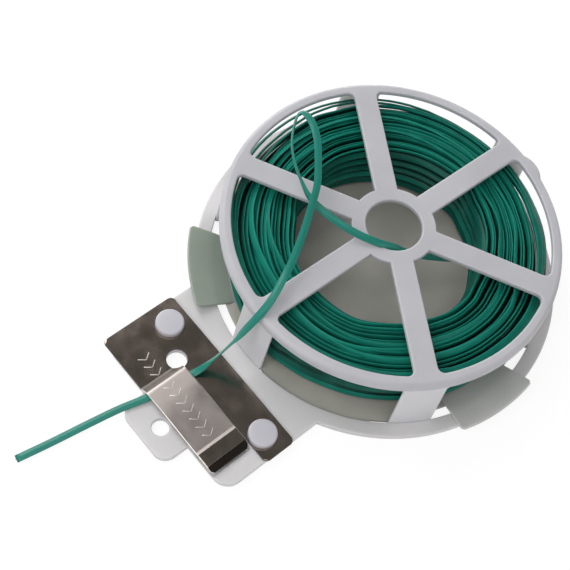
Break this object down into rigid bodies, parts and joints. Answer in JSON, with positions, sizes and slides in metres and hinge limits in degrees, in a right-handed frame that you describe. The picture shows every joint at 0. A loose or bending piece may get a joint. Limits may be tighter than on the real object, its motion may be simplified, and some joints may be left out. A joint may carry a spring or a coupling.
{
  "type": "wire spool",
  "caption": "Flat cage spool of plastic-coated garden wire, with a hanging ear and a tab that carries a press-down steel wire cutter.",
  "frame": {"origin": "on the axis of the cage and the coil, in the plane of the flat back that the spool lies on", "axes": "+Z along the coil's axis out of the front of the cage, -Y from the axis to the cutter tab and the hanging ear, +X along the cutter plate towards the free end of its tongue"},
  "size_m": [0.113, 0.1761, 0.0389],
  "materials": {
    "white_plastic": "satin, slightly translucent moulding",
    "grey_green_plastic": "frosted, slightly translucent sheet",
    "green_coating": "semi-gloss extruded coating over a steel core",
    "cutter_steel": "bright rolled spring steel",
    "rivet_plastic": "satin"
  },
  "bodies": {
    "frame": {"base_ring": "white_plastic", "cutter_tab": "white_plastic", "cage_legs": "white_plastic", "front_ring": "white_plastic", "hub_and_spokes": "white_plastic", "back_disc": "grey_green_plastic", "cutter_plate": "cutter_steel", "cutter_rivets": "rivet_plastic", "wire_tail": "green_coating"},
    "coil": {"wire_coil_core": "green_coating", "wire_coil_winding": "green_coating"},
    "tongue": {"cutter_tongue": "cutter_steel"}
  },
  "joints": [
    {"name": "coil_turn", "type": "hinge", "parent": "frame", "child": "coil", "pos_m": [0, 0, 0.002], "axis": [0, 0, 1], "continuous": true},
    {"name": "tongue_press", "type": "hinge", "parent": "frame", "child": "tongue", "pos_m": [-0.0096, -0.0747, 0.00225], "axis": [0, 1, 0], "range_deg": [0, 2.5], "stiffness_Nm_per_rad": 3}
  ]
}
